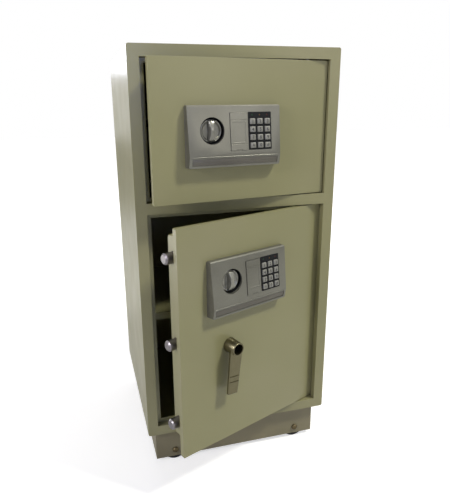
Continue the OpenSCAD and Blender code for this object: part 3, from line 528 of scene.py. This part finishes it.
# Knobs: a rimmed disc with a hollow at each side of a waisted grip, on a spindle, and a black
# sleeve in each well as painted shade
knobPlan = {
    "x": 101.5, "z": {"lower": 320.5, "upper": 120.5}, "spindle": {"lower": 14.0, "upper": 23.5},
    "radius": 19.3, "rim": 8.5, "rimWidth": 1.6, "edge": 0.9, "rear": 2.5,
    "hollow": 2.7, "hollowRun": 3.6, "top": 16.6, "arch": 31.0,
    "waist": 4.3, "flare": 3.4, "flank": 3.2,
    "rings": 44, "around": 120, "crown": 0.7, "fade": (0.8, 2.6),
    "rearStep": 0.5, "shaft": (4.0, 3.2), "shaftEnd": 0.8,
    # black sleeve up the well's floor and wall: a dark sheet standing for the shade round the knob,
    # as painted shade
    "shadeSleeve": ((12, 1.55), (21.95, 1.55), (21.95, 11.2), (21.6, 11.6), (21.2, 11.2), (20.9, 2.6),
              (20.2, 1.95), (12, 1.95), (12, 1.55)),
    "shadeSleeveAround": 72,
}


def easeIn(x):
    x = min(max(x, 0.0), 1.0)
    return x * x * (3 - 2 * x)


def knobHeight(u, v):
    plan = knobPlan
    r, radius = math.hypot(u, v), plan["radius"]
    dip = easeIn((radius - plan["rimWidth"] - r) / plan["hollowRun"])
    base = plan["rim"] - plan["hollow"] * dip
    lip = r - (radius - plan["edge"])
    if lip > 0:
        base -= plan["edge"] - math.sqrt(max(plan["edge"] ** 2 - lip ** 2, 0))
    half = plan["waist"] + plan["flare"] * (v / radius) ** 2
    top = plan["top"] - (plan["arch"] - math.sqrt(plan["arch"] ** 2 - v * v)) \
        - plan["crown"] * (u / half) ** 2
    share = easeIn((half + plan["flank"] / 2 - abs(u)) / plan["flank"]) \
        * easeIn((radius - plan["fade"][0] - r) / plan["fade"][1])
    return base + max(top - base, 0) * share


def knobShape(spindle):
    plan = knobPlan
    shape = bmesh.new()
    middle = shape.verts.new((0, 0, knobHeight(0, 0) * mm))
    rings, around = [], plan["around"]
    angles = [2 * math.pi * j / around for j in range(around)]
    for i in range(1, plan["rings"] + 1):
        r = plan["radius"] * i / plan["rings"]
        ring = [(r * math.cos(a), r * math.sin(a)) for a in angles]
        rings.append([shape.verts.new((u * mm, v * mm, knobHeight(u, v) * mm)) for u, v in ring])
    step, (shaft, shaftTip) = plan["rearStep"], plan["shaft"]
    for r, height in ((plan["radius"], plan["rear"] + step), (plan["radius"] - step, plan["rear"]),
                      (shaft, plan["rear"]), (shaft, plan["shaftEnd"] - spindle),
                      (shaftTip, -spindle)):
        rings.append([shape.verts.new((r * math.cos(a) * mm, r * math.sin(a) * mm, height * mm))
                      for a in angles])
    for j in range(around):
        k = (j + 1) % around
        shape.faces.new((middle, rings[0][j], rings[0][k]))
        for low, high in zip(rings, rings[1:]):
            shape.faces.new((low[j], high[j], high[k], low[k]))
    shape.faces.new(rings[-1])
    bmesh.ops.recalc_face_normals(shape, faces=shape.faces)
    return shape


for door in doors:
    spot = Matrix.Translation(Vector((knobPlan["x"], 0, knobPlan["z"][door])) * mm)
    knob = linkPiece(door + "_knobSkin", stamped(knobShape(knobPlan["spindle"][door]),
                                                 [doorSpace(door) @ spot @ outward]),
                     knobLacquer, door + "_knob_turn", smooth=55.0)
    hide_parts(door + "_knob")
    # A black sleeve lines each well as painted shade in the gap round the knob
    shadeSleeve = stamped(turned(knobPlan["shadeSleeve"], knobPlan["shadeSleeveAround"]),
                    [doorSpace(door) @ spot @ outward])
    linkPiece(door + "_knob_shade_sleeve", shadeSleeve, blackAbs, door + "_door")
print("knobs shaped")

# A thin bead runs along the ridge of each housing and catches the light
beadPlan = {"from": 3.5, "to": 169.5, "radius": 0.85, "rise": 0.1, "steps": 8,
            "shares": (0.0, 0.02, 0.06, 0.5, 0.94, 0.98, 1.0),
            "swells": (0.25, 0.8, 1.0, 1.0, 1.0, 0.8, 0.25)}


def beadShape():
    plan = beadPlan
    shape = bmesh.new()
    rings = []
    angles = [math.pi * i / plan["steps"] for i in range(plan["steps"] + 1)]
    for share, swell in zip(plan["shares"], plan["swells"]):
        x = plan["from"] + (plan["to"] - plan["from"]) * share
        size = plan["radius"] * swell
        rings.append([shape.verts.new((x * mm, -size * math.sin(a) * mm,
                                       (plan["rise"] + size * math.cos(a)) * mm)) for a in angles])
    skinRings(shape, rings)
    return shape


for door in doors:
    linkPiece(door + "_ridge_bead", stamped(beadShape(), [faceSpace(door)]), housingLacquer,
              door + "_door")
print("ridge beads laid")

# A bare inlay plate lies in the recess below the ridge
inlayPlan = {"from": 7.0, "to": 166.0, "low": -13.6, "high": -3.4, "sunk": 0.55, "thick": 0.4,
             "bandTilt": 11.0, "corner": 1.2, "steps": 4, "shoulder": 0.12, "shrink": 0.15}


def inlayShape():
    plan = inlayPlan
    shape = bmesh.new()
    corner, steps = plan["corner"], plan["steps"]
    left, right = plan["from"] + corner, plan["to"] - corner
    low, high = plan["low"] + corner, plan["high"] - corner
    outline = []
    for x, z, start in ((right, high, 0), (left, high, 90), (left, low, 180), (right, low, 270)):
        for i in range(steps + 1):
            a = math.radians(start + 90 * i / steps)
            outline.append((x + corner * math.cos(a), z + corner * math.sin(a)))
    middle = ((plan["from"] + plan["to"]) / 2, (plan["low"] + plan["high"]) / 2)
    rings = []
    for y, shrink in ((plan["sunk"] + plan["thick"], 0.0), (plan["sunk"] + plan["shoulder"], 0.0),
                      (plan["sunk"], plan["shrink"])):
        rings.append([shape.verts.new(((x - math.copysign(shrink, x - middle[0])) * mm, y * mm,
                                       (z - math.copysign(shrink, z - middle[1])) * mm))
                      for x, z in outline])
    skinRings(shape, rings)
    return shape


for door in doors:
    bandTurn = math.radians(doorPlan["faceTilt"] + inlayPlan["bandTilt"])
    bandSpace = faceSpace(door) @ Matrix.Rotation(bandTurn, 4, "X")
    linkPiece(door + "_band_inlay", stamped(inlayShape(), [bandSpace]), inlayLacquer,
              door + "_door")
print("inlays laid")

# Signal lamps above the keys: tinted lenses in the keypad plate
lampPlan = {"order": ("green", "amber", "red"), "rise": 67.6, "sink": 0.2, "around": 20,
            "profile": ((1.72, -0.4), (1.72, 0.1), (1.5, 0.35), (1.0, 0.55), (0.45, 0.64),
                        (0, 0.66))}
for door in doors:
    for i, colour in enumerate(lampPlan["order"]):
        spot = Vector((keyPlan["padMiddle"] + (i - 1) * keyPlan["pitch"][0], lampPlan["sink"],
                       lampPlan["rise"])) * mm
        lens = turned(lampPlan["profile"], lampPlan["around"])
        mesh = stamped(lens, [faceSpace(door) @ Matrix.Translation(spot) @ outward])
        linkPiece(f"{door}_{colour}_lamp", mesh, lamps[colour], door + "_door")

# Pan-head screws with a cross recess hold the inner covers
screwPlan = {
    "around": 28,
    "head": ((4.0, 0), (4.0, 0.6), (3.7, 1.3), (3.0, 1.9), (1.9, 2.3), (0.9, 2.45), (0, 2.5)),
    "cross": (3.6, 0.9, 1.2), "crossTop": 2.6, "crossTurn": 0.4, "turnStep": 0.7,
    "rows": {"lower": 4, "upper": 3},
    "coverBack": 41.5, "inset": 6.0,
    "casing": {"left": 10.0, "right": 322.5, "foot": 30.0, "drop": 18.0},
}


def crossHead():
    head = bpy.data.meshes.new("crossHead")
    shape = turned(screwPlan["head"], screwPlan["around"])
    bmesh.ops.holes_fill(shape, edges=[e for e in shape.edges if e.is_boundary])
    shape.to_mesh(head)
    shape.free()
    holder = addObject("crossHead", head)
    length, width, depth = screwPlan["cross"]
    cutters = []
    for turn in (0, math.pi / 2):
        bit = bpy.data.meshes.new("bit")
        tool = bmesh.new()
        bmesh.ops.create_cube(tool, size=1.0)
        tool.transform(Matrix.Rotation(turn + screwPlan["crossTurn"], 4, "Z")
                       @ Matrix.Translation((0, 0, screwPlan["crossTop"] * mm))
                       @ Matrix.Diagonal((length * mm, width * mm, depth * 2 * mm, 1)))
        tool.to_mesh(bit)
        tool.free()
        cutters.append(addObject("bit", bit))
        cutWith(holder, cutters[-1])
    bakeModifiers(holder)
    shape = bmesh.new()
    shape.from_mesh(holder.data)
    for spare in cutters + [holder]:
        bpy.data.objects.remove(spare)
    return shape


for door in doors:
    casing, inset = screwPlan["casing"], screwPlan["inset"]
    left, right = casing["left"] + inset, casing["right"] - inset
    low, high = casing["foot"] + inset, doorPlan["height"][door] - casing["drop"] - inset
    rows = screwPlan["rows"][door]
    spots = [(x, low + (high - low) * i / (rows - 1)) for x in (left, right) for i in range(rows)]
    spots += [((left + right) / 2, z) for z in (low, high)]
    places = [doorSpace(door) @ Matrix.Translation(Vector((x, screwPlan["coverBack"], z)) * mm)
              @ inward @ Matrix.Rotation(screwPlan["turnStep"] * i, 4, "Z")
              for i, (x, z) in enumerate(spots)]
    linkPiece(door + "_cover_screws", stamped(crossHead(), places), zincSteel,
              door + "_door")
print("lamps and screws set")

# The lever: a tapering hub with an open end, and an arm with rounded long edges and two grooves
leverPlan = {"hub": (106.0, 194.0), "lean": 6.0, "front": -23.0, "back": -17.0, "fall": 1.0,
             "length": 90.0, "widths": ((0.0, 12.25), (9.0, 13.5), (86.17, 11.5)),
             "corner": 3.83, "edge": 2.1, "edgeShare": 0.45, "tip": 2.0, "heel": 0.6,
             "roundSteps": 6, "frontSteps": 10,
             "grooves": (52.4, 63.2), "grooveWidth": 1.6, "grooveDepth": 1.3, "grooveRun": 0.4,
             "grooveStops": (-0.2, 0, 0.15, 0.3, 0.5),
             "wall": 11.2, "boreLength": 40.0, "boreAround": 64, "hubAround": 96,
             "stops": (0.0, 2.0, 5.0, 9.0, 14.0, 22.0, 32.0, 42.0, 48.0, 58.5, 70.0, 78.0, 84.0,
                       86.17, 87.2, 88.0, 88.7, 89.3, 89.7, 90.0),
             "hubProfile": ((0, 0.4), (13.4, 0.4), (14.0, 0.9), (12.4, 26.1), (11.9, 26.8),
                            (11.3, 27.0), (10.6, 27.0), (10.1, 26.7), (10.0, 26.2), (10.0, 8.1),
                            (0, 8.1))}


def leverHalf(v):
    plan = leverPlan
    for (v0, h0), (v1, h1) in zip(plan["widths"], plan["widths"][1:]):
        if v <= v1:
            return h0 + (h1 - h0) * (v - v0) / (v1 - v0)
    last, half = plan["widths"][-1]
    return half - plan["corner"] + math.sqrt(max(plan["corner"] ** 2 - (v - last) ** 2, 0))


def leverSection(v):
    plan = leverPlan
    half, top = leverHalf(v), plan["length"] - plan["tip"]
    front = plan["front"] + plan["fall"] * min(v / top, 1) + max(v - top, 0)
    edge = min(plan["edge"], plan["edgeShare"] * (plan["back"] - front))
    depth = 0.0
    for groove in plan["grooves"]:
        inner = min(v - groove, groove + plan["grooveWidth"] - v)
        depth = max(depth, plan["grooveDepth"] * easeIn(inner / plan["grooveRun"]))
    heel, steps, across = plan["heel"], plan["roundSteps"], plan["frontSteps"]
    points = [(-half + heel, plan["back"]), (-half, plan["back"] - heel)]
    turns = [math.radians(90 * i / steps) for i in range(steps + 1)]
    points += [(-half + edge - edge * math.cos(a), front + edge - edge * math.sin(a))
               for a in turns]
    run = half - edge
    points += [(-run + 2 * run * i / across, front) for i in range(1, across)]
    points += [(half - edge + edge * math.sin(a), front + edge - edge * math.cos(a))
               for a in turns]
    points += [(half, plan["back"] - heel), (half - heel, plan["back"])]
    floor = front + depth
    return [(u, max(y, floor) if depth > 0 else y) for u, y in points]


def leverMesh():
    plan = leverPlan
    stops = list(plan["stops"])
    for groove in plan["grooves"]:
        stops += [groove + run for run in plan["grooveStops"]]
        stops += [groove + plan["grooveWidth"] - run for run in plan["grooveStops"]]
    shape = bmesh.new()
    rings = [[shape.verts.new((u * mm, y * mm, -v * mm)) for u, y in leverSection(v)]
             for v in sorted(stops)]
    skinRings(shape, rings)
    shape.transform(Matrix.Rotation(math.radians(plan["lean"]), 4, "Y"))
    arm = addObject("arm", stamped(shape, [Matrix.Identity(4)]))
    wall, length = plan["wall"], plan["boreLength"]
    bore = turned(((0, 0), (wall, 0), (wall, length), (0, length)), plan["boreAround"])
    cutter = addObject("bore", stamped(bore, [outward]))
    cutWith(arm, cutter)
    bakeModifiers(arm)
    whole = bmesh.new()
    whole.from_mesh(arm.data)
    armFaces = len(whole.faces)
    whole.from_mesh(stamped(turned(plan["hubProfile"], plan["hubAround"]), [outward]))
    for i, face in enumerate(whole.faces):
        face.material_index = int(i >= armFaces)   # the hub has its own material
    mesh = bpy.data.meshes.new("lever")
    whole.to_mesh(mesh)
    whole.free()
    for holder in (arm, cutter):
        bpy.data.objects.remove(holder)
    place = Vector((plan["hub"][0], 0, plan["hub"][1])) * mm
    mesh.transform(doorSpace("lower") @ Matrix.Translation(place))
    return mesh


# The arm's olive-brown colour is a painted reflection of the door's paint
lever = linkPiece("lever_handleSkin", leverMesh(), armNickelPaintedReflection, "lever")
lever.data.materials.append(hubNickel)
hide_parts("lever_handle")

# The lever's hub is closed by a black plug at the bottom of its hollow
plugPlan = {"floor": -7.9, "around": 40, "profile": ((9.7, 0), (9.7, 1.2), (9.0, 2.0), (0, 2.0))}
plugSpot = Vector((leverPlan["hub"][0], plugPlan["floor"], leverPlan["hub"][1])) * mm
plug = stamped(turned(plugPlan["profile"], plugPlan["around"]),
               [doorSpace("lower") @ Matrix.Translation(plugSpot) @ outward])
linkPiece("lever_hub_plug", plug, blackAbs, "lever")

# Push-in caps close the four anchor holes from inside
capPlan = {"x": (-110.0, 110.0), "z": (245.0, 675.0), "back": 183.4, "around": 32,
           "profile": ((0, 0), (4.6, 0), (5.6, 0.9), (5.6, 2.4), (8.6, 2.4), (8.6, 3.2),
                       (7.6, 4.0), (0, 4.4))}
capSpots = [Matrix.Translation(Vector((x, capPlan["back"], z)) * mm) @ outward
            for x in capPlan["x"] for z in capPlan["z"]]
caps = stamped(turned(capPlan["profile"], capPlan["around"]), capSpots)
linkPiece("anchor_caps", caps, blackAbs, "cabinet")
print("lever and anchor holes plugged")

# Floor, light and camera. The camera sees the floor as white paper with the safe's soft shadow.
stagePlan = {"floor": "#dcdcda", "roughness": 0.9, "size": 24.0, "fill": 0.09,
             "near": 0.7, "far": 3.0,
             "seen": (0.6, 1.0), "mirrored": (0.16, 0.07)}   # floor's glow, near and far
floorMesh = bpy.data.meshes.new("studioFloor")
half = stagePlan["size"] / 2
floorCorners = [(-half, -half, 0), (half, -half, 0), (half, half, 0), (-half, half, 0)]
floorMesh.from_pydata(floorCorners, [], [(0, 1, 2, 3)])
floor = addObject("studioFloor", floorMesh)
floorMaterial, tree = newMaterial("paleStudioFloor")
ray = addNode(tree, "ShaderNodeLightPath")
spot = addNode(tree, "ShaderNodeTexCoord").outputs["Object"]
reach = addNode(tree, "ShaderNodeVectorMath", {"operation": "LENGTH"}, {0: spot})
glow = [addNode(tree, "ShaderNodeMapRange", inputs={
    "Value": reach.outputs["Value"], "From Min": stagePlan["near"], "From Max": stagePlan["far"],
    "To Min": stagePlan[kind][0], "To Max": stagePlan[kind][1]}).outputs["Result"]
        for kind in ("seen", "mirrored")]
bounced = addNode(tree, "ShaderNodeMath", {"operation": "MAXIMUM"}, {
    0: ray.outputs["Is Glossy Ray"], 1: ray.outputs["Is Transmission Ray"]})
bounced = addNode(tree, "ShaderNodeMath", {"operation": "MULTIPLY"}, {
    0: glow[1], 1: bounced.outputs[0]})
shown = addNode(tree, "ShaderNodeMath", {"operation": "MULTIPLY_ADD"}, {
    0: glow[0], 1: ray.outputs["Is Camera Ray"], 2: bounced.outputs[0]})
paper = addNode(tree, "ShaderNodeBsdfPrincipled", inputs={
    "Base Color": hexToLinear(stagePlan["floor"]), "Roughness": stagePlan["roughness"],
    "Emission Color": (1, 1, 1, 1), "Emission Strength": shown.outputs[0]})
closeMaterial(tree, paper)
floorMesh.materials.append(floorMaterial)

world = bpy.data.worlds.new("whiteStudio")
bpy.context.scene.world = world
world.use_nodes = True
tree = world.node_tree
tree.nodes.clear()
ray = addNode(tree, "ShaderNodeLightPath")
seen = addNode(tree, "ShaderNodeMath", {"operation": "MAXIMUM"}, {
    0: ray.outputs["Is Camera Ray"], 1: ray.outputs["Is Glossy Ray"]})
seen = addNode(tree, "ShaderNodeMath", {"operation": "MAXIMUM"}, {
    0: seen.outputs[0], 1: ray.outputs["Is Transmission Ray"]})
level = addNode(tree, "ShaderNodeMapRange", inputs={
    "Value": seen.outputs[0], "To Min": stagePlan["fill"], "To Max": 1.0})
sky = addNode(tree, "ShaderNodeBackground", inputs={
    "Color": (1, 1, 1, 1), "Strength": level.outputs["Result"]})
addNode(tree, "ShaderNodeOutputWorld", inputs={"Surface": sky.outputs[0]})

# name: place, watts, side length, colour. The key's direction was set so that the shadows of
# the lever and of the upper housing fall as they do in the photo.
lightPlan = {
    "keySoftbox": ((2.25, -1.85, 4.0), 152.0, 0.6, "#fffef2"),
    "frontLeftSoftbox": ((-1.75, -1.0, 1.25), 19.5, 0.6, "#faf6ff"),
    "coolStrip": ((-0.15, -2.3, 0.95), 4.5, 0.4, "#9caeff"),
    "frontSoftbox": ((1.2, -2.4, 1.05), 2.8, 0.6, "#fffaf0"),
    "topSoftbox": ((0.7, 0.15, 2.4), 2.5, 0.6, "#fff8ea"),
    "lowLeftSoftbox": ((-1.4, 0.9, 0.2), 7.0, 0.7, "#fdfdf6"),
    "farStrip": ((-0.42, 2.4, 1.25), 11.0, 0.6, "#eef0ff"),
    "backSoftbox": ((0.9, 2.4, 1.6), 12.0, 1.4, "#ffffff"),
    "rightSoftbox": ((2.2, 1.2, 1.0), 16.0, 1.2, "#ffffff"),
}
aim = Vector((0, -0.1, 0.42))
for name, (place, watts, side, colour) in lightPlan.items():
    lamp = bpy.data.lights.new(name, "AREA")
    lamp.energy, lamp.size, lamp.color = watts, side, hexToLinear(colour)[:3]
    holder = addObject(name, lamp)
    holder.location = place
    holder.rotation_euler = (aim - Vector(place)).to_track_quat("-Z", "Y").to_euler()

# The photograph's camera: focal length and centre in its pixels, angles in degrees
cameraPlan = {"place": (-276.7, -1028.8, 709.9), "focal": 490.73, "centre": (218.05, 251.3),
              "pitch": -16.34, "heading": 15.526, "roll": -0.646, "frame": (450, 500)}
camera = bpy.data.cameras.new("photoCamera")
longSide = max(cameraPlan["frame"])
camera.sensor_width = 36.0
camera.lens = cameraPlan["focal"] / longSide * camera.sensor_width
camera.shift_x = -(cameraPlan["centre"][0] - cameraPlan["frame"][0] / 2) / longSide
camera.shift_y = (cameraPlan["centre"][1] - cameraPlan["frame"][1] / 2) / longSide
cameraObject = addObject("photoCamera", camera)
pitch, heading, roll = (math.radians(cameraPlan[n]) for n in ("pitch", "heading", "roll"))
cameraObject.matrix_world = (Matrix.Translation(Vector(cameraPlan["place"]) * mm)
                             @ Matrix.Rotation(-heading, 4, "Z")
                             @ Matrix.Rotation(math.pi / 2 + pitch, 4, "X")
                             @ Matrix.Rotation(roll, 4, "Z"))
bpy.context.scene.camera = cameraObject
bpy.context.scene.view_settings.view_transform = "Standard"
print("stage, lights and camera set")
